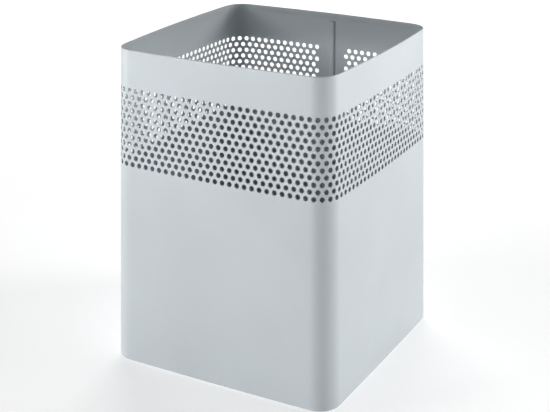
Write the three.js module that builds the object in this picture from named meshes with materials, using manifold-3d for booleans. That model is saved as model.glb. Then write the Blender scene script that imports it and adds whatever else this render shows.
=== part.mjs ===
// A square steel wastebasket: one wall sheet wrapped round four rounded corners and locked in a
// folded seam, a pressed base pan held in the sheet's lower fold, and four push-in floor glides.
//
// Millimetres, +Z up. The origin is on the floor under the middle of the base. The front is -Y
// and the seam stands near the middle of the +Y side. The wall's small punched holes are not cut.

import * as THREE from "three";
import { mergeVertices } from "three/addons/utils/BufferGeometryUtils.js";
import Module from "manifold-3d";

const wasm = await Module();
wasm.setup();

// ---- Driving dimensions ----------------------------------------------------------------------

const WIDTH = 245; // across the outer faces where they leave the corners, in X and in Y
const HEIGHT = 312.5; // floor to rim
const CORNER_RADIUS = 22; // outer face, in plan
const RIM_BOW = 3.3; // how far each side stands out at mid-width, at the rim
const FOOT_BOW = 0.6; // the same at the lower edge, where the pan holds the sides straight
const SHEET = 0.7; // steel thickness
const GAP = 0.3; // clearance between pieces, and inside a folded edge
const GLIDE_DROP = 1.5; // how far the glides hold the wall's lower edge off the floor

const HEM_DEPTH = 5; // the rim's edge, folded inwards and down
const FOLD_DEPTH = 7; // the lower edge, folded inwards and up round the pan's flange

const PAN_RISE = 9; // pan floor above the wall's lower edge
const PAN_BEND = 1.5; // outer radius of the bend between the pan's floor and its flange
const PANEL_HALF = 82; // raised stiffening panel in the pan, half its width
const PANEL_RADIUS = 14;
const PANEL_RISE = 2;
const PANEL_SLOPE = 3; // plan width of the slope round the panel

const SEAM_ASIDE = 3.7; // folded lock seam: its middle, from the +Y side's middle towards +X
const SEAM_WIDTH = 6.8;
const SEAM_HEIGHT = 2;
const SEAM_DROP = 4; // the seam stops this far short of the hem
const SEAM_ROUND = 0.9; // rounding of the seam's long edges
const SEAM_BITE = 0.35; // how deep the seam's root runs into the sheet
const JOINT_WIDTH = 0.5; // hairline where the sheet's two ends meet outside
const JOINT_DEPTH = 0.35;

const GLIDE_AT = 97; // glide centres, from the middle in X and in Y
const GLIDE_FOOT_RADIUS = 6.6;
const GLIDE_HEAD_RADIUS = 8;
const GLIDE_EDGE = 0.8; // rounding of the glide's lower edge
const STEM_RADIUS = 3;
const BARB_RADIUS = 4.1;
const BARB_HEIGHT = 2.6;
const BARB_SLIT = 1.1;

const SIDE_STEPS = 6; // facets along a side
const CORNER_STEPS = 6; // facets round a corner
const TURN_STEPS = 22; // facets round a glide

const STEEL_COLOUR = 0xc3cbcf;
const GLIDE_COLOUR = 0x26282a;

// ---- Worked out from them --------------------------------------------------------------------

const HALF = WIDTH / 2;
const WALL_FOOT = GLIDE_DROP; // height of the wall's lower edge
const PAN_TOP = WALL_FOOT + PAN_RISE;
const PAN_UNDER = PAN_TOP - SHEET;
const WALL_SLOPE = (RIM_BOW - FOOT_BOW) / (HEIGHT - WALL_FOOT);

/** How far a side stands out at mid-width, at height z. */
function bowAt(z) {
  return FOOT_BOW + WALL_SLOPE * (z - WALL_FOOT);
}

// ---- Shapes ----------------------------------------------------------------------------------

/**
 * A rounded square in plan, counter-clockwise from above: one large arc along each side and one
 * small arc round each corner, tangent where they meet, all moved inwards by inset.
 */
function outline({ half = HALF, radius = CORNER_RADIUS, bow, inset = 0 }) {
  const cornerAt = half - radius;
  const reach = (cornerAt ** 2 + bow ** 2) / (2 * bow); // side arc's centre to corner arc's centre
  const lean = Math.asin(cornerAt / reach); // half the angle of a side arc
  const sideRadius = reach + radius;
  const sideAt = half + bow - sideRadius;
  const quarter = [];
  for (let k = 0; k < SIDE_STEPS; k++) {
    const angle = lean * ((2 * k) / SIDE_STEPS - 1);
    const r = sideRadius - inset;
    quarter.push(new THREE.Vector2(sideAt + r * Math.cos(angle), r * Math.sin(angle)));
  }
  for (let k = 0; k < CORNER_STEPS; k++) {
    const angle = lean + ((Math.PI / 2 - 2 * lean) * k) / CORNER_STEPS;
    const r = radius - inset;
    quarter.push(new THREE.Vector2(cornerAt + r * Math.cos(angle), cornerAt + r * Math.sin(angle)));
  }
  const middle = new THREE.Vector2();
  return [0, 1, 2, 3].flatMap((turn) =>
    quarter.map((point) => point.clone().rotateAround(middle, (turn * Math.PI) / 2)),
  );
}

/** The wall's outline at one point of its profile. */
function wallRing([inset, z]) {
  return { points: outline({ bow: bowAt(z), inset }), z };
}

/**
 * A skin over rings with the same number of points. The rings run upwards outside and inwards
 * on top. A closed loft joins the last ring to the first; an open one is filled at both ends.
 */
function loft(rings, closed) {
  const count = rings[0].points.length;
  const positions = rings.flatMap(({ points, z }) => points.flatMap(({ x, y }) => [x, y, z]));
  const triangles = [];
  const bands = closed ? rings.length : rings.length - 1;
  for (let band = 0; band < bands; band++) {
    const low = band * count;
    const high = ((band + 1) % rings.length) * count;
    for (let k = 0; k < count; k++) {
      const next = (k + 1) % count;
      triangles.push(low + k, low + next, high + next, low + k, high + next, high + k);
    }
  }
  if (!closed) {
    const bottom = rings.length * count;
    const top = bottom + 1;
    const last = (rings.length - 1) * count;
    positions.push(0, 0, rings[0].z, 0, 0, rings.at(-1).z);
    for (let k = 0; k < count; k++) {
      const next = (k + 1) % count;
      triangles.push(bottom, next, k, top, last + k, last + next);
    }
  }
  const geometry = new THREE.BufferGeometry();
  geometry.setAttribute("position", new THREE.Float32BufferAttribute(positions, 3));
  geometry.setIndex(triangles);
  return geometry;
}

/** Points [inset, z] on an arc; angles in degrees, 0 towards the middle and 90 upwards. */
function arc(inset, z, radius, from, to, steps) {
  return Array.from({ length: steps + 1 }, (_, k) => {
    const angle = THREE.MathUtils.degToRad(from + ((to - from) * k) / steps);
    return [inset + radius * Math.cos(angle), z + radius * Math.sin(angle)];
  });
}

// ---- Joining and cutting ---------------------------------------------------------------------

function toSolid(geometry) {
  const bare = geometry.clone();
  bare.deleteAttribute("normal");
  bare.deleteAttribute("uv");
  const merged = mergeVertices(bare);
  return new wasm.Manifold(
    new wasm.Mesh({
      numProp: 3,
      vertProperties: new Float32Array(merged.attributes.position.array),
      triVerts: new Uint32Array(merged.index.array),
    }),
  );
}

function toGeometry(solid) {
  const { vertProperties, triVerts } = solid.getMesh();
  const geometry = new THREE.BufferGeometry();
  geometry.setAttribute("position", new THREE.Float32BufferAttribute(vertProperties, 3));
  geometry.setIndex(new THREE.BufferAttribute(new Uint32Array(triVerts), 1));
  return geometry;
}

// ---- Wall sheet ------------------------------------------------------------------------------

/** The sheet's section, with its hem at the rim and its fold round the pan's flange. */
function wallProfile() {
  const hemInside = GAP / 2;
  const hemOutside = hemInside + SHEET;
  const foldInside = SHEET / 2 + GAP;
  const foldOutside = foldInside + SHEET;
  const hemZ = HEIGHT - hemOutside;
  const foldZ = WALL_FOOT + foldOutside;
  return [
    ...arc(hemOutside, hemZ, hemOutside, 180, 0, 6),
    [2 * hemOutside, HEIGHT - HEM_DEPTH],
    [2 * hemOutside - SHEET, HEIGHT - HEM_DEPTH],
    ...arc(hemOutside, hemZ, hemInside, 0, 180, 3),
    ...arc(foldOutside, foldZ, foldInside, 180, 360, 4),
    [2 * foldOutside - SHEET, WALL_FOOT + FOLD_DEPTH],
    [2 * foldOutside, WALL_FOOT + FOLD_DEPTH],
    ...arc(foldOutside, foldZ, foldOutside, 360, 180, 6),
  ];
}

/** Moves a piece drawn upright at the origin to the seam's place, leaning as the +Y side does. */
function leanWithWall(geometry, inset) {
  geometry.rotateX(-Math.atan(WALL_SLOPE));
  geometry.translate(SEAM_ASIDE, HALF + bowAt(0) - inset, 0);
  return geometry;
}

/** The lock seam: a flattened roll of the sheet's two ends, standing inside the +Y side. */
function seamGeometry() {
  const foot = PAN_TOP + 2 * GAP;
  const top = HEIGHT - HEM_DEPTH - SEAM_DROP;
  const side = SEAM_WIDTH / 2;
  const crest = SEAM_HEIGHT;
  const plan = new THREE.Shape();
  plan.moveTo(-side, SEAM_BITE);
  plan.lineTo(-side, SEAM_ROUND - crest);
  plan.absarc(SEAM_ROUND - side, SEAM_ROUND - crest, SEAM_ROUND, Math.PI, Math.PI * 1.5, false);
  plan.lineTo(side - SEAM_ROUND, -crest);
  plan.absarc(side - SEAM_ROUND, SEAM_ROUND - crest, SEAM_ROUND, -Math.PI / 2, 0, false);
  plan.lineTo(side, SEAM_BITE);
  plan.closePath();
  const geometry = new THREE.ExtrudeGeometry(plan, {
    depth: top - foot,
    bevelEnabled: false,
    curveSegments: 3,
  });
  geometry.translate(0, 0, foot);
  return leanWithWall(geometry, SHEET);
}

/** The hairline outside, where one end of the sheet runs in under the other. */
function jointGeometry() {
  const foot = WALL_FOOT + 2 * SHEET;
  const top = HEIGHT - 3 * SHEET;
  const geometry = new THREE.BoxGeometry(JOINT_WIDTH, 2 * JOINT_DEPTH, top - foot);
  geometry.translate(SEAM_WIDTH / 2, 0, (foot + top) / 2);
  return leanWithWall(geometry, 0);
}

function wallSheet() {
  const sheet = toSolid(loft(wallProfile().map(wallRing), true));
  return toGeometry(sheet.add(toSolid(seamGeometry())).subtract(toSolid(jointGeometry())));
}

// ---- Base pan --------------------------------------------------------------------------------

/** One face of the pan's raised panel, from its middle outwards. */
function panelRings(z) {
  const inner = PANEL_HALF - PANEL_SLOPE;
  const ring = (half, radius, height) => ({
    points: outline({ half, radius, bow: FOOT_BOW }),
    z: height,
  });
  return [
    ring(inner / 2, PANEL_RADIUS / 2, z + PANEL_RISE),
    ring(inner, PANEL_RADIUS - PANEL_SLOPE, z + PANEL_RISE),
    ring(PANEL_HALF, PANEL_RADIUS, z),
  ];
}

function basePan() {
  const flangeOutside = SHEET + GAP;
  const flangeInside = flangeOutside + SHEET;
  const bendAt = flangeOutside + PAN_BEND;
  const bendZ = PAN_TOP - PAN_BEND;
  const flangeFoot = WALL_FOOT + SHEET + 2 * GAP;
  const rings = [
    ...panelRings(PAN_UNDER),
    ...arc(bendAt, bendZ, PAN_BEND - SHEET, 90, 180, 3).map(wallRing),
    wallRing([flangeInside, flangeFoot]),
    wallRing([flangeOutside, flangeFoot]),
    ...arc(bendAt, bendZ, PAN_BEND, 180, 90, 4).map(wallRing),
    ...panelRings(PAN_TOP).reverse(),
  ];
  let pan = toSolid(loft(rings, false));
  for (const { x, y } of glidePlaces()) {
    const hole = new THREE.CylinderGeometry(STEM_RADIUS + GAP, STEM_RADIUS + GAP, 6 * SHEET, TURN_STEPS);
    hole.rotateX(Math.PI / 2);
    hole.translate(x, y, PAN_TOP);
    pan = pan.subtract(toSolid(hole));
  }
  return toGeometry(pan);
}

// ---- Floor glides ----------------------------------------------------------------------------

function glidePlaces() {
  return [
    { name: "glide_front_left", x: -GLIDE_AT, y: -GLIDE_AT },
    { name: "glide_front_right", x: GLIDE_AT, y: -GLIDE_AT },
    { name: "glide_back_left", x: -GLIDE_AT, y: GLIDE_AT },
    { name: "glide_back_right", x: GLIDE_AT, y: GLIDE_AT },
  ];
}

/** A plastic glide: a tapered foot under the pan, and a stem with a split barb above it. */
function glide() {
  const headTop = PAN_UNDER - GAP;
  const barbFoot = PAN_TOP + GAP;
  const barbTop = barbFoot + BARB_HEIGHT;
  const profile = [
    new THREE.Vector2(0, 0),
    new THREE.Vector2(GLIDE_FOOT_RADIUS - GLIDE_EDGE, 0),
    new THREE.Vector2(GLIDE_FOOT_RADIUS - 0.2 * GLIDE_EDGE, 0.3 * GLIDE_EDGE),
    new THREE.Vector2(GLIDE_FOOT_RADIUS, GLIDE_EDGE),
    new THREE.Vector2(GLIDE_HEAD_RADIUS, headTop),
    new THREE.Vector2(STEM_RADIUS, headTop),
    new THREE.Vector2(STEM_RADIUS, barbFoot),
    new THREE.Vector2(BARB_RADIUS, barbFoot),
    new THREE.Vector2(BARB_RADIUS, barbFoot + SHEET),
    new THREE.Vector2(STEM_RADIUS - GAP, barbTop),
    new THREE.Vector2(0, barbTop),
  ];
  const turned = new THREE.LatheGeometry(profile, TURN_STEPS);
  turned.rotateX(Math.PI / 2);
  const slit = new THREE.BoxGeometry(BARB_SLIT, 4 * BARB_RADIUS, 2 * BARB_HEIGHT);
  slit.translate(0, 0, barbTop);
  return toGeometry(toSolid(turned).subtract(toSolid(slit)));
}

// ---- The wastebasket -------------------------------------------------------------------------

function piece(name, geometry, colour, roughness, metalness) {
  const shaded = geometry.index ? geometry : mergeVertices(geometry);
  shaded.computeVertexNormals();
  const material = new THREE.MeshStandardMaterial({ color: colour, roughness, metalness });
  const mesh = new THREE.Mesh(shaded, material);
  mesh.name = name;
  return mesh;
}

const wastebasket = new THREE.Group();
wastebasket.name = "wastebasket";
wastebasket.add(piece("wall_sheet", wallSheet(), STEEL_COLOUR, 0.42, 0.1));
wastebasket.add(piece("base_pan", basePan(), STEEL_COLOUR, 0.42, 0.1));
for (const { name, x, y } of glidePlaces()) {
  const foot = piece(name, glide(), GLIDE_COLOUR, 0.6, 0);
  foot.position.set(x, y, 0);
  wastebasket.add(foot);
}

export default wastebasket;
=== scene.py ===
"""A square perforated-steel wastebasket, standing on a pale floor in soft studio light.

Metres, +Z up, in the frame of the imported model. The front is -Y, and the seam is near the middle
of the +Y side. The CAD's closed wall is replaced by the punched sheet, with its hem, fold and seam.
"""

import math
from collections import namedtuple
from functools import lru_cache

import bpy
from mathutils import Matrix, Vector


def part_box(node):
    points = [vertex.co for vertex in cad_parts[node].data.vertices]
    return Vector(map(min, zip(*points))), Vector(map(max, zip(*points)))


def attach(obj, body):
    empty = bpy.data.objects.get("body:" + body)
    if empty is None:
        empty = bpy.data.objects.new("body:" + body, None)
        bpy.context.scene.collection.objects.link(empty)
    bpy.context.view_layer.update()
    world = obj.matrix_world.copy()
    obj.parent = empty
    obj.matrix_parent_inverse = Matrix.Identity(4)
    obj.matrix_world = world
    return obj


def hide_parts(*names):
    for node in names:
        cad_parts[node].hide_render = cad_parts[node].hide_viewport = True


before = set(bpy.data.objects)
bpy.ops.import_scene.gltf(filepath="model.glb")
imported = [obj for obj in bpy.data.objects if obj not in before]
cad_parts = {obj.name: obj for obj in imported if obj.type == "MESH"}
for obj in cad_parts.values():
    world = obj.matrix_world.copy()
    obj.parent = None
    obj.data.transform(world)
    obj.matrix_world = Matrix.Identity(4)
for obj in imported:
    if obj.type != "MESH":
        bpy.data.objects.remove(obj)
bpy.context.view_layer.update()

MM = 0.001

# ---- Driving dimensions ------------------------------------------------------------------------

SHEET = 0.7 * MM
GAP = 0.3 * MM
CORNER_RADIUS = 22 * MM
RIM_BOW = 3.3 * MM  # how far a side stands out at mid-width, at the rim
FOOT_BOW = 0.6 * MM  # the same at the wall's lower edge
HEM_DEPTH = 5 * MM
WORN_EDGE = 0.3 * MM  # how far down from the rim's crest, and up from the fold, the coat is rubbed
FOLD_DEPTH = 7 * MM

HOLES_AROUND = 116  # hole places in one row, right round the wall
HOLES_LEFT_OUT = 4  # of them, in each row, at the seam
HOLE_ROWS = 12
HOLE_RADIUS = 2.5 * MM
HOLE_EDGE = 0.22 * MM  # rolled-over edge of a hole, on the punch's side
HOLE_DRIFT = 4.9 * MM  # how far the holes beside the seam stand to +X of an even spacing
DRIFT_FROM_LEFT = 0.375  # the share of the way round over which they drift, on the seam's -X side
DRIFT_FROM_RIGHT = 0.25  # the same on its +X side
ROW_PITCH = 6.72 * MM
TOP_ROW_BELOW_RIM = 40.4 * MM

SEAM_ASIDE = 3.7 * MM  # the seam stands this far to the +X side of the back's middle
SEAM_WIDTH = 6.8 * MM
SEAM_HEIGHT = 2 * MM
SEAM_DROP = 4 * MM  # the seam stops this far short of the hem
JOINT_WIDTH = 0.5 * MM
JOINT_DEPTH = 0.35 * MM
JOINT_SLOPE = 0.06 * MM  # how far each of the joint's walls leans

PAN_BEND = 1.5 * MM
PANEL_HALF = 82 * MM
PANEL_RADIUS = 14 * MM
PANEL_RISE = 2 * MM
PANEL_SLOPE = 3 * MM

GLIDE_FLAT_RADIUS = 5.3 * MM  # a ring on the foot's flat face, which keeps its shading flat
GLIDE_FOOT_RADIUS = 6.6 * MM
GLIDE_FOOT_ROUND = 0.8 * MM
GLIDE_HEAD_RADIUS = 7.9 * MM
GLIDE_HEAD_ROUND = 0.5 * MM
STEM_RADIUS = 3 * MM
BARB_RADIUS = 4 * MM
BARB_HEIGHT = 2.6 * MM
BARB_LIP = 0.15 * MM  # small bevel under the barb
BARB_TAPER = 0.4 * MM  # bevel at its tip
BARB_SLIT = 1.1 * MM
GLIDE_HOLE_RADIUS = STEM_RADIUS + GAP

SHARP_ANGLE = math.radians(40)  # edges where faces turn by more than this are shaded sharp

# ---- Taken from the frame ----------------------------------------------------------------------

wall_low, wall_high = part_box("wall_sheet")
pan_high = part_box("base_pan")[1]
RIM = wall_high.z
FOOT = wall_low.z
PAN_TOP = pan_high.z - PANEL_RISE
WALL_SLOPE = (RIM_BOW - FOOT_BOW) / (RIM - FOOT)


def bow_at(z):
    """How far a side stands out at mid-width, at height z."""
    return FOOT_BOW + WALL_SLOPE * (z - FOOT)


HEM_RADIUS = SHEET + GAP / 2  # outer radius of the hem's bend
FOLD_RADIUS = SHEET + GAP + SHEET / 2  # outer radius of the fold's bend, round the pan's flange
HALF = wall_high.x - bow_at(RIM - HEM_RADIUS)  # half the wall's width, without the bow

# ---- The wall's outline ------------------------------------------------------------------------


class Outline:
    """A rounded square in plan: a large arc along each side and a small one round each corner.

    A place on it is a share of the way round, from the middle of the +Y side towards +X.
    """

    def __init__(self, bow, half=HALF, radius=CORNER_RADIUS):
        corner_at = half - radius
        reach = (corner_at**2 + bow**2) / (2 * bow)
        self.corner_at = corner_at
        self.corner_radius = radius
        self.side_radius = reach + radius
        self.side_at = half + bow - self.side_radius
        self.lean = math.asin(corner_at / reach)
        self.side_run = self.side_radius * self.lean
        self.corner_run = radius * (math.pi / 2 - 2 * self.lean)
        self.quarter = 2 * self.side_run + self.corner_run

    def place(self, share, inset):
        """The point at a share of the way round, moved inwards by inset."""
        turn, run = divmod((share % 1.0) * 4 * self.quarter, self.quarter)
        if run < self.side_run:
            angle = run / self.side_radius
            along, out = 0.0, self.side_at
            radius = self.side_radius
        elif run < self.side_run + self.corner_run:
            angle = self.lean + (run - self.side_run) / self.corner_radius
            along, out = self.corner_at, self.corner_at
            radius = self.corner_radius
        else:
            angle = math.pi / 2 - (self.quarter - run) / self.side_radius
            along, out = self.side_at, 0.0
            radius = self.side_radius
        along += (radius - inset) * math.sin(angle)
        out += (radius - inset) * math.cos(angle)
        quarter_turn = int(turn) % 4
        for _ in range(quarter_turn):
            along, out = out, -along
        return along, out


@lru_cache(maxsize=None)
def outline_at(z):
    """The wall's outline at height z."""
    return Outline(bow_at(z))


def wall_point(share, inset, z):
    """The point of the wall at a share of the way round and a height, inset from its outer face."""
    return (*outline_at(z).place(share, inset), z)


PERIMETER = 4 * outline_at(RIM).quarter


def arc(across, z, radius, start, end, steps):
    """Points (across, z) on an arc about a middle; degrees, 0 is further across and 90 is up."""
    points = []
    for k in range(steps + 1):
        angle = math.radians(start + (end - start) * k / steps)
        points.append((across + radius * math.cos(angle), z + radius * math.sin(angle)))
    return points


# ---- Meshes ------------------------------------------------------------------------------------


def make_object(name, points, faces):
    """A mesh object, shaded smooth apart from its sharp edges."""
    mesh = bpy.data.meshes.new(name)
    mesh.from_pydata(points, [], faces)
    mesh.validate()
    mesh.shade_smooth()
    mesh.set_sharp_from_angle(angle=SHARP_ANGLE)
    made = bpy.data.objects.new(name, mesh)
    bpy.context.scene.collection.objects.link(made)
    return made


def loft(name, rings):
    """A closed skin over rings of points, filled at both ends.

    The rings run clockwise seen from above, and outwards below, up outside and inwards on top.
    """
    count = len(rings[0])
    points = [point for ring in rings for point in ring]
    faces = []
    for band in range(len(rings) - 1):
        low = band * count
        high = low + count
        for k in range(count):
            after = (k + 1) % count
            faces.append((low + after, low + k, high + k, high + after))
    faces.append(tuple(range(count)))
    faces.append(tuple(reversed(range(len(points) - count, len(points)))))
    return make_object(name, points, faces)


def cut(target, cutter):
    """Takes the cutter's shape out of the target, and removes the cutter."""
    modifier = target.modifiers.new("cut", "BOOLEAN")
    modifier.operation = "DIFFERENCE"
    modifier.solver = "EXACT"
    modifier.object = cutter
    depsgraph = bpy.context.evaluated_depsgraph_get()
    mesh = bpy.data.meshes.new_from_object(target.evaluated_get(depsgraph))
    mesh.set_sharp_from_angle(angle=SHARP_ANGLE)
    target.modifiers.clear()
    target.data = mesh
    bpy.data.objects.remove(cutter)


# ---- The punched wall --------------------------------------------------------------------------

PITCH = PERIMETER / HOLES_AROUND
WEAR = "worn"  # mesh attribute: how rubbed the coat is, nought to one
PARTS = 4  # mesh columns in a pitch, and mesh rows in a row pitch
HALF_CELL = PARTS // 2
QUARTERS = HOLES_AROUND * PARTS
LINES = HOLE_ROWS * PARTS  # mesh lines up the punched band
BAND_TOP = RIM - TOP_ROW_BELOW_RIM + ROW_PITCH / 2
BAND_FOOT = BAND_TOP - HOLE_ROWS * ROW_PITCH

# A column stands at a share of the way round. Ridge and joint say how much of the seam's ridge
# inside and of its joint outside it has, and a coarse column also runs outside the punched band.
Column = namedtuple("Column", "share ridge joint coarse")

# A ring runs round at an inset and a height. Ridge and joint say whether the seam's ridge and its
# joint show on it, and line is its number in the punched band, or None.
Ring = namedtuple("Ring", "inset z ridge joint line")


def drifted(share):
    """Where an evenly spaced share of the way round ends up, with the holes' drift added."""
    from_back = (share + 0.5) % 1.0 - 0.5
    reach = DRIFT_FROM_RIGHT if from_back > 0 else DRIFT_FROM_LEFT
    return share + HOLE_DRIFT / PERIMETER * max(0.0, 1 - abs(from_back) / reach)


def between(x, table):
    """The value at x of a line through (place, value) pairs in order; nought outside them."""
    for (x0, v0), (x1, v1) in zip(table, table[1:]):
        if x0 <= x <= x1:
            return v0 + (v1 - v0) * (x - x0) / (x1 - x0)
    return 0.0


def seam_columns():
    """The columns across the seam's ridge, and across the joint line at its +X edge."""
    side = SEAM_WIDTH / 2
    # mm in from the ridge's edge, and the share of its height there
    shoulder = [(0.0, 0.0), (0.2, 0.3), (0.5, 0.58), (0.9, 0.79), (1.5, 0.93), (2.3, 0.99)]
    ridge = [(inwards * MM - side, rise) for inwards, rise in shoulder]
    ridge += [(0.0, 1.0)] + [(-x, rise) for x, rise in reversed(ridge)]
    lip = JOINT_WIDTH / 2
    foot = lip + JOINT_SLOPE
    joint = [(side - foot, 0.0), (side - lip, 1.0), (side + lip, 1.0), (side + foot, 0.0)]
    columns = []
    for x in sorted({x for x, _ in ridge} | {x for x, _ in joint}):
        share = (SEAM_ASIDE + x) / PERIMETER
        columns.append(Column(share, between(x, ridge), between(x, joint), True))
    return columns


def in_corner(share):
    """True where the wall curves round a corner, or next to it."""
    rim, foot = outline_at(RIM), outline_at(FOOT)
    run = (share % 0.25) * 4 * rim.quarter
    start = min(rim.side_run, foot.side_run) - PITCH / PARTS
    return start < run < rim.quarter - start


def wall_columns():
    """The columns right round the wall, and where each whole quarter pitch is among them."""
    columns, places = [], {}
    for quarter in range(-QUARTERS // 2, QUARTERS // 2):
        if quarter == 0:
            columns += seam_columns()
        if abs(quarter) <= PARTS:  # the seam's own columns stand there
            continue
        places[quarter] = len(columns)
        share = drifted(quarter / QUARTERS)
        columns.append(Column(share, 0.0, 0.0, quarter % PARTS == HALF_CELL or in_corner(share)))
    return columns, places


def wall_section():
    """The sheet's section from the fold up outside, over the hem, and down inside.

    The rings of the punched band have a line number, counted from the bottom of the band.
    """
    hem_z = RIM - HEM_RADIUS
    fold_z = FOOT + FOLD_RADIUS
    ridge_top = RIM - HEM_DEPTH - SEAM_DROP
    ridge_foot = PAN_TOP + 2 * GAP
    lines = [(line, BAND_FOOT + line * ROW_PITCH / PARTS) for line in range(LINES + 1)]
    hem = arc(HEM_RADIUS, hem_z, HEM_RADIUS, 180, 0, 6)
    hem += [(2 * HEM_RADIUS, RIM - HEM_DEPTH), (2 * HEM_RADIUS - SHEET, RIM - HEM_DEPTH)]
    hem += arc(HEM_RADIUS, hem_z, GAP / 2, 0, 180, 3)
    fold = arc(FOLD_RADIUS, fold_z, FOLD_RADIUS - SHEET, 180, 360, 4)
    fold += [(2 * FOLD_RADIUS - SHEET, FOOT + FOLD_DEPTH), (2 * FOLD_RADIUS, FOOT + FOLD_DEPTH)]
    fold += arc(FOLD_RADIUS, fold_z, FOLD_RADIUS, 360, 180, 6)
    rings = [Ring(0.0, z, 0, 1, line) for line, z in lines]
    rings.append(Ring(0.0, hem_z - HEM_RADIUS / 2, 0, 1, None))
    rings += [Ring(inset, z, 0, 1, None) for inset, z in hem[:-1]]
    rings.append(Ring(*hem[-1], 0, 0, None))
    rings.append(Ring(SHEET, ridge_top, 0, 0, None))
    rings.append(Ring(SHEET, ridge_top - GAP, 1, 0, None))
    rings += [Ring(SHEET, z, 1, 0, line) for line, z in reversed(lines)]
    rings.append(Ring(SHEET, ridge_foot + GAP, 1, 0, None))
    rings.append(Ring(SHEET, ridge_foot, 0, 0, None))
    rings.append(Ring(*fold[0], 0, 0, None))
    rings += [Ring(inset, z, 0, 1, None) for inset, z in fold[1:]]
    rings.append(Ring(0.0, fold_z + HEM_RADIUS / 2, 0, 1, None))
    return rings


def hole_places():
    """Each hole's row, from the bottom, and the quarter pitch of its middle."""
    left_out = range(-HOLES_LEFT_OUT // 2, HOLES_LEFT_OUT // 2)
    for row in range(HOLE_ROWS):
        shift = HALF_CELL * (row % 2)
        for place in range(-HOLES_AROUND // 2, HOLES_AROUND // 2):
            if place not in left_out:
                yield row, place * PARTS + shift


def cell_border():
    """Steps (columns, lines) round a cell's edge, from the middle of its later side."""
    h = HALF_CELL
    corner = [(h, step) for step in range(h)] + [(h - step, h) for step in range(h)]
    border = []
    for _ in range(4):
        border += corner
        corner = [(-y, x) for x, y in corner]
    return border


class WallMesh:
    """The wall as one closed skin: the section swept round the outline, with punched cells."""

    def __init__(self):
        self.columns, self.places = wall_columns()
        self.rings = wall_section()
        self.outside = self.rings.index(next(r for r in self.rings if r.line == 0))
        self.inside = self.rings.index(next(r for r in self.rings if r.line == LINES and r.inset))
        self.points, self.faces, self.wear = [], [], []
        self.made = {}
        self.punched = set()

    def column(self, quarter):
        """Which column stands at a quarter pitch, counted right round."""
        return self.places[(quarter + QUARTERS // 2) % QUARTERS - QUARTERS // 2]

    def add_point(self, share, inset, z, wear=0.0):
        self.points.append(wall_point(share, inset, z))
        self.wear.append(wear)
        return len(self.points) - 1

    def point(self, ring, column):
        """The point where a ring meets a column, made when it is first asked for."""
        ring %= len(self.rings)
        column %= len(self.columns)
        if (ring, column) not in self.made:
            at, up = self.columns[column], self.rings[ring]
            inset = up.inset + up.ridge * at.ridge * SEAM_HEIGHT + up.joint * at.joint * JOINT_DEPTH
            rubbed = up.z > RIM - WORN_EDGE or up.z < FOOT + WORN_EDGE
            self.made[ring, column] = self.add_point(at.share, inset, up.z, float(rubbed))
        return self.made[ring, column]

    def join(self, before, after):
        """Faces between two loops of points, the second one nearer the inside of the bin."""
        for k in range(len(before)):
            n = (k + 1) % len(before)
            self.faces.append((after[k], after[n], before[n], before[k]))

    def punch(self, row, quarter):
        """One punched cell, from the outer face through the hole to the inner face."""
        middle = row * PARTS + HALF_CELL
        share = drifted(quarter / QUARTERS)
        z = BAND_FOOT + middle * ROW_PITCH / PARTS
        for step in range(-HALF_CELL, HALF_CELL):
            self.punched.add((row, self.column(quarter + step)))
        border = cell_border()
        out = [self.point(self.outside + middle + up, self.column(quarter + on)) for on, up in border]
        back = [
            self.point(self.inside + LINES - middle - up, self.column(quarter + on))
            for on, up in border
        ]
        loops = [out]
        throat = [(HOLE_RADIUS + HOLE_EDGE, 0.0), (HOLE_RADIUS, HOLE_EDGE), (HOLE_RADIUS, SHEET)]
        for radius, inset in throat:
            loop = []
            for k in range(len(border)):
                angle = 2 * math.pi * k / len(border)
                along = radius * math.cos(angle) / PERIMETER
                up = radius * math.sin(angle)
                loop.append(self.add_point(share + along, inset, z + up, float(inset == HOLE_EDGE)))
            loops.append(loop)
        loops.append(back)
        for before, after in zip(loops, loops[1:]):
            self.join(before, after)

    def run(self, ring, columns):
        """A ring's points over some columns: all of them in the band, or only the ends."""
        if self.rings[ring % len(self.rings)].line is None:
            columns = (columns[0], columns[-1])
        return [self.point(ring, column) for column in columns]

    def fill_band(self, ring):
        """The plain part of the band between a ring and the next one."""
        line = min(self.rings[ring].line, self.rings[ring + 1].line)
        for column in range(len(self.columns)):
            if (line // PARTS, column) not in self.punched:
                low = self.run(ring, (column, column + 1))
                high = self.run(ring + 1, (column, column + 1))
                self.faces.append((low[1], low[0], high[0], high[1]))

    def fill_plain(self, ring):
        """The strip between a ring and the next one, where one of them is outside the band."""
        coarse = [k for k, column in enumerate(self.columns) if column.coarse]
        for start, end in zip(coarse, coarse[1:] + [coarse[0] + len(self.columns)]):
            columns = range(start, end + 1)
            low, high = self.run(ring, columns), self.run(ring + 1, columns)
            self.faces.append(tuple(low[::-1] + high))

    def build(self, name):
        for row, quarter in hole_places():
            self.punch(row, quarter)
        for ring in range(len(self.rings)):
            after = self.rings[(ring + 1) % len(self.rings)]
            if self.rings[ring].line is None or after.line is None:
                self.fill_plain(ring)
            else:
                self.fill_band(ring)
        made = make_object(name, self.points, self.faces)
        made.data.attributes.new(WEAR, "FLOAT", "POINT").data.foreach_set("value", self.wear)
        return made


# ---- The pan and the glides --------------------------------------------------------------------


def pan_ring(outline, inset, z, side_steps=7, corner_steps=10):
    """Points right round an outline, with the same count on every side and corner."""
    runs = [outline.side_run * k / side_steps for k in range(side_steps)]
    runs += [outline.side_run + outline.corner_run * k / corner_steps for k in range(corner_steps)]
    runs += [outline.quarter - outline.side_run * (1 - k / side_steps) for k in range(side_steps)]
    points = []
    for turn in range(4):
        for run in runs:
            share = (turn + run / outline.quarter) / 4
            points.append((*outline.place(share, inset), z))
    return points


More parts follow.
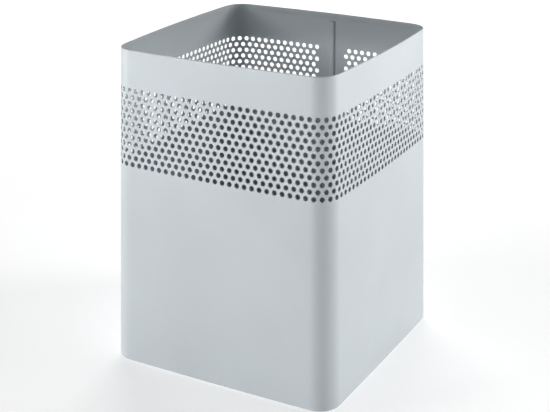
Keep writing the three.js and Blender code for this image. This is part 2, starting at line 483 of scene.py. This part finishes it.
def panel_face(z):
    """The pan's pressed panel on one face of the sheet, from its middle outwards."""
    rings = []
    steps = 6
    for k in range(steps + 1):
        slope = k / steps
        rise = (1 + math.cos(math.pi * slope)) / 2
        half = PANEL_HALF - PANEL_SLOPE * (1 - slope)
        radius = PANEL_RADIUS - PANEL_SLOPE * (1 - slope)
        rings.append(pan_ring(Outline(FOOT_BOW, half, radius), 0.0, z + PANEL_RISE * rise))
    return rings


def make_pan():
    """The pressed base: a panelled floor, a bend, and the flange that the wall's fold grips."""
    foot = FOOT + SHEET + 2 * GAP
    outer_face = SHEET + GAP
    inner_face = outer_face + SHEET
    bend_inset = outer_face + PAN_BEND
    bend_z = PAN_TOP - PAN_BEND

    def round_bend(radius, start, end):
        steps = arc(bend_inset, bend_z, radius, start, end, 6)
        return [pan_ring(outline_at(z), inset, z) for inset, z in steps]

    edge = outline_at(foot)
    rings = panel_face(PAN_TOP - SHEET)
    rings += round_bend(PAN_BEND - SHEET, 90, 180)
    rings += [pan_ring(edge, inner_face, foot), pan_ring(edge, outer_face, foot)]
    rings += round_bend(PAN_BEND, 180, 90)
    rings += reversed(panel_face(PAN_TOP))
    return loft("pressed_pan", rings)


def turned(name, profile, steps=40):
    """A closed solid of revolution about Z, from (radius, z) points going up its outside."""
    rings = []
    for radius, z in profile:
        ring = []
        for k in range(steps):
            angle = -2 * math.pi * k / steps
            ring.append((radius * math.cos(angle), radius * math.sin(angle), z))
        rings.append(ring)
    return loft(name, rings)


def make_glide(node):
    """A moulded glide: a tapered foot under the pan, and a stem with a split barb above it."""
    low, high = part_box(node)
    head_top = PAN_TOP - SHEET - GAP
    barb_foot = PAN_TOP + GAP
    barb_top = barb_foot + BARB_HEIGHT
    foot_edge = GLIDE_FOOT_RADIUS - GLIDE_FOOT_ROUND
    head_edge = GLIDE_HEAD_RADIUS - GLIDE_HEAD_ROUND
    profile = [(GLIDE_FLAT_RADIUS, 0.0)]
    profile += arc(foot_edge, GLIDE_FOOT_ROUND, GLIDE_FOOT_ROUND, -90, 0, 5)
    profile += arc(head_edge, head_top - GLIDE_HEAD_ROUND, GLIDE_HEAD_ROUND, 0, 90, 3)
    profile += [
        (STEM_RADIUS, head_top),
        (STEM_RADIUS, barb_foot),
        (BARB_RADIUS - BARB_LIP, barb_foot),
        (BARB_RADIUS, barb_foot + BARB_LIP),
        (BARB_RADIUS, barb_foot + SHEET),
        (STEM_RADIUS, barb_top - BARB_TAPER),
        (STEM_RADIUS - BARB_TAPER, barb_top),
    ]
    made = turned(node.replace("glide", "foot"), profile)
    cut(made, loft("slit", box_rings(BARB_SLIT, 5 * BARB_RADIUS, barb_foot, barb_top + SHEET)))
    made.location = ((low.x + high.x) / 2, (low.y + high.y) / 2, 0)
    return made


def drill_pan(pan, glide):
    """The hole in the pan that a glide's stem goes through."""
    depth = 5 * SHEET
    hole = turned("hole", [(GLIDE_HOLE_RADIUS, PAN_TOP - depth), (GLIDE_HOLE_RADIUS, PAN_TOP + depth)])
    hole.location = glide.location
    cut(pan, hole)


def box_rings(width, depth, foot, top):
    """The two ends of an upright box about Z, as rings for a loft."""
    x, y = width / 2, depth / 2
    corners = [(x, y), (x, -y), (-x, -y), (-x, y)]
    return [[(*corner, z) for corner in corners] for z in (foot, top)]


# ---- Materials ---------------------------------------------------------------------------------


class Nodes:
    """A new material's node tree, with short ways to add nodes and to join them."""

    def __init__(self, name):
        self.material = bpy.data.materials.new(name)
        self.material.use_nodes = True
        self.tree = self.material.node_tree
        self.tree.nodes.clear()
        output = self.tree.nodes.new("ShaderNodeOutputMaterial")
        self.shader = self.tree.nodes.new("ShaderNodeBsdfPrincipled")
        self.tree.links.new(self.shader.outputs["BSDF"], output.inputs["Surface"])

    def add(self, kind, inputs=None, **settings):
        node = self.tree.nodes.new(kind)
        for name, value in settings.items():
            setattr(node, name, value)
        for name, value in (inputs or {}).items():
            self.feed(node.inputs[name], value)
        return node

    def feed(self, socket, value):
        if isinstance(value, bpy.types.NodeSocket):
            self.tree.links.new(value, socket)
        else:
            socket.default_value = value

    def place(self):
        """Where a shaded point is, in metres in the object's own frame."""
        return self.add("ShaderNodeTexCoord").outputs["Object"]

    def noise(self, scale, detail=3.0, roughness=0.5):
        inputs = {"Vector": self.place(), "Scale": scale, "Detail": detail, "Roughness": roughness}
        return self.add("ShaderNodeTexNoise", inputs).outputs["Fac"]

    def remap(self, value, low, high, new_low, new_high):
        inputs = {"Value": value, "From Min": low, "From Max": high}
        inputs.update({"To Min": new_low, "To Max": new_high})
        return self.add("ShaderNodeMapRange", inputs).outputs["Result"]

    def math(self, operation, first, second):
        node = self.add("ShaderNodeMath", operation=operation)
        self.feed(node.inputs[0], first)
        self.feed(node.inputs[1], second)
        return node.outputs[0]

    def mix(self, factor, first, second):
        """A mix of two colours; a Mix node has them at inputs 6 and 7, and the result at output 2."""
        node = self.add("ShaderNodeMix", data_type="RGBA")
        self.feed(node.inputs["Factor"], factor)
        self.feed(node.inputs[6], first)
        self.feed(node.inputs[7], second)
        return node.outputs[2]

    def bump(self, height, distance, strength, normal=None):
        inputs = {"Height": height, "Distance": distance, "Strength": strength}
        if normal is not None:
            inputs["Normal"] = normal
        return self.add("ShaderNodeBump", inputs).outputs["Normal"]

    def set(self, **values):
        """Sets the Principled shader's sockets; an underscore stands for a space."""
        for name, value in values.items():
            self.feed(self.shader.inputs[name.replace("_", " ")], value)


def powder_coat(name, colour):
    """Satin silver-grey powder coat: orange peel, a faint drift of tone, edges worn to the steel."""
    coat = Nodes(name)
    pale = tuple(1.03 * c for c in colour) + (1.0,)
    deep = tuple(0.96 * c for c in colour) + (1.0,)
    bare_steel = (0.74, 0.75, 0.76, 1.0)
    edge = coat.add("ShaderNodeAttribute", attribute_name=WEAR).outputs["Fac"]
    patches = coat.remap(coat.noise(90.0, 4.0, 0.6), 0.42, 0.62, 0.1, 0.8)
    worn = coat.math("MULTIPLY", edge, patches)
    cloud = coat.remap(coat.noise(9.0, 4.0), 0.35, 0.65, 0.0, 1.0)
    flake = coat.remap(coat.noise(5200.0, 1.0), 0.35, 0.65, 0.0, 0.35)
    tone = coat.mix(flake, coat.mix(cloud, deep, pale), pale)
    coat.set(Base_Color=coat.mix(worn, tone, bare_steel))
    coat.set(Metallic=0.1)
    speckle = coat.remap(coat.noise(2200.0, 2.0), 0.3, 0.7, -0.03, 0.03)
    smear = coat.remap(coat.noise(24.0, 5.0, 0.6), 0.3, 0.7, 0.37, 0.47)
    rubbed = coat.math("MULTIPLY", worn, -0.15)
    coat.set(Roughness=coat.math("ADD", coat.math("ADD", smear, speckle), rubbed))
    peel = coat.bump(coat.noise(1100.0, 2.0), 0.04 * MM, 0.35)
    coat.set(Normal=coat.bump(coat.noise(16.0, 1.0), 0.5 * MM, 0.12, peel))
    return coat.material


def moulded_plastic(name, colour):
    """Matt moulded plastic with a fine spark-eroded grain, scuffed where it meets the floor."""
    plastic = Nodes(name)
    tone = plastic.remap(plastic.noise(300.0), 0.3, 0.7, 0.0, 1.0)
    pale = tuple(1.5 * c for c in colour) + (1.0,)
    scuffed = tuple(5 * c for c in colour) + (1.0,)
    height = plastic.add("ShaderNodeSeparateXYZ", {"Vector": plastic.place()}).outputs["Z"]
    scratches = plastic.remap(plastic.noise(700.0, 5.0, 0.7), 0.45, 0.6, 0.0, 1.0)
    scuff = plastic.math("MULTIPLY", plastic.remap(height, 0.1 * MM, 0.9 * MM, 0.8, 0.0), scratches)
    plain = plastic.mix(tone, (*colour, 1.0), pale)
    plastic.set(Base_Color=plastic.mix(scuff, plain, scuffed))
    plastic.set(Roughness=plastic.remap(plastic.noise(1800.0), 0.3, 0.7, 0.5, 0.68))
    plastic.set(Normal=plastic.bump(plastic.noise(2600.0, 2.0), 0.05 * MM, 0.5))
    return plastic.material


# ---- The studio --------------------------------------------------------------------------------

CAMERA_AZIMUTH = 28.67  # degrees round from the front towards +X
CAMERA_DISTANCE = 1.3718  # level, from the bin's middle line
CAMERA_HEIGHT = 0.6414
CAMERA_ASIDE = -1.7 * MM
CAMERA_TILT = 20.287  # degrees down
CAMERA_LENS = 91.34  # mm, on a 36 mm sensor

COAT_COLOUR = (0.54, 0.585, 0.612)
PLASTIC_COLOUR = (0.02, 0.021, 0.023)

FLOOR_REACH = 6.0
FLOOR_TONES = ((0.88, 0.88, 0.88, 1.0), (0.9, 0.9, 0.9, 1.0))
FLOOR_GLOW = 0.46  # the floor is a softly lit panel, so the bin throws little shadow on it
BACKDROP = 0.95  # how pale the studio is beyond the floor, where the camera sees it
# The glow rises to the backdrop's between these distances, as the soft boxes' light falls off.
GLOW_RISES_FROM = 0.6
GLOW_RISES_TO = 2.5
SOFT_BOXES = (  # name, azimuth, elevation, distance, width, height, power
    ("left_low", -60, 0, 4.0, 1.2, 0.3, 42),
    ("front_low", -25, 0, 4.0, 1.2, 0.3, 23),
    ("left_high", -50, 20, 3.5, 1.2, 1.0, 27),
    ("front_high", -20, 20, 3.5, 1.2, 1.0, 12),
    ("right_low", 127, 0, 4.0, 1.2, 0.3, 37),
    ("right_near", 105, 20, 3.5, 1.2, 1.0, 18),
    ("right_high", 125, 20, 3.5, 1.2, 1.0, 43),
    ("back_high", 210, 50, 3.0, 1.6, 1.6, 32),
)


def make_camera():
    """A view camera: it looks down, but its back is upright, so upright edges stay parallel."""
    turn, tilt = math.radians(CAMERA_AZIMUTH), math.radians(CAMERA_TILT)
    up = Vector((0, 0, 1))
    away = Vector((math.sin(turn), -math.cos(turn), 0))
    right = Vector((math.cos(turn), math.sin(turn), 0))
    behind = away * math.cos(tilt) + up * math.sin(tilt)
    stand = bpy.data.objects.new("camera_stand", None)
    stand.location = away * CAMERA_DISTANCE + right * CAMERA_ASIDE + up * CAMERA_HEIGHT
    camera = bpy.data.objects.new("camera", bpy.data.cameras.new("camera"))
    camera.data.sensor_width = 36
    camera.data.lens = CAMERA_LENS
    camera.parent = stand
    camera.matrix_parent_inverse = Matrix((right, up, behind)).transposed().to_4x4()
    for made in (stand, camera):
        bpy.context.scene.collection.objects.link(made)
    bpy.context.scene.camera = camera


def soft_box(name, azimuth, elevation, distance, width, height, power, target):
    """A large area light that faces a target from a direction; degrees, azimuth 0 is the front."""
    turn, rise = math.radians(azimuth), math.radians(elevation)
    away = Vector((math.sin(turn) * math.cos(rise), -math.cos(turn) * math.cos(rise), math.sin(rise)))
    light = bpy.data.lights.new(name, "AREA")
    light.shape = "RECTANGLE"
    light.size, light.size_y = width, height
    light.energy = power
    made = bpy.data.objects.new(name, light)
    made.location = target + away * distance
    made.rotation_euler = (-away).to_track_quat("-Z", "Y").to_euler()
    made.visible_camera = False
    bpy.context.scene.collection.objects.link(made)


def make_world():
    """A pale backdrop for the camera that adds no light of its own to the soft boxes'."""
    world = bpy.data.worlds.new("studio")
    world.use_nodes = True
    tree = world.node_tree
    seen = tree.nodes.new("ShaderNodeLightPath")
    pale = tree.nodes.new("ShaderNodeMath")
    pale.operation = "MULTIPLY"
    pale.inputs[1].default_value = BACKDROP
    background = tree.nodes["Background"]
    background.inputs["Color"].default_value = (1.0, 1.0, 1.0, 1.0)
    tree.links.new(seen.outputs["Is Camera Ray"], pale.inputs[0])
    tree.links.new(pale.outputs[0], background.inputs["Strength"])
    bpy.context.scene.world = world


def make_floor():
    """A wide pale floor under the bin, which glows more with distance from it."""
    corners = [(-1, -1), (1, -1), (1, 1), (-1, 1)]
    points = [(x * FLOOR_REACH, y * FLOOR_REACH, 0) for x, y in corners]
    floor = make_object("floor", points, [(0, 1, 2, 3)])
    paint = Nodes("floor_paint")
    tone = paint.remap(paint.noise(3.0), 0.3, 0.7, 0.0, 1.0)
    paint.set(Base_Color=paint.mix(tone, *FLOOR_TONES), Roughness=0.9)
    away = paint.add("ShaderNodeVectorMath", operation="LENGTH")
    paint.feed(away.inputs[0], paint.place())
    distance = away.outputs["Value"]
    glow = paint.remap(distance, GLOW_RISES_FROM, GLOW_RISES_TO, FLOOR_GLOW, BACKDROP)
    paint.set(Emission_Color=(1.0, 1.0, 1.0, 1.0), Emission_Strength=glow)
    floor.data.materials.append(paint.material)


# ---- The scene ---------------------------------------------------------------------------------

make_camera()
make_floor()
make_world()
for name, azimuth, elevation, distance, width, height, power in SOFT_BOXES:
    soft_box(name, azimuth, elevation, distance, width, height, power, Vector((0, 0, RIM / 2)))
bpy.context.scene.view_settings.view_transform = "Standard"

coat = powder_coat("silver_powder_coat", COAT_COLOUR)
plastic = moulded_plastic("black_plastic", PLASTIC_COLOUR)


def finish_piece(piece, material, node):
    """Gives a piece its material, and puts it in the place of its CAD node."""
    piece.data.materials.clear()
    piece.data.materials.append(material)
    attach(piece, "root")
    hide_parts(node)


wall = WallMesh().build("punched_wall")
finish_piece(wall, coat, "wall_sheet")
pan = make_pan()
glides = [node for node in sorted(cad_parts) if node.startswith("glide")]
for node in glides:
    foot = make_glide(node)
    drill_pan(pan, foot)
    finish_piece(foot, plastic, node)
finish_piece(pan, coat, "base_pan")
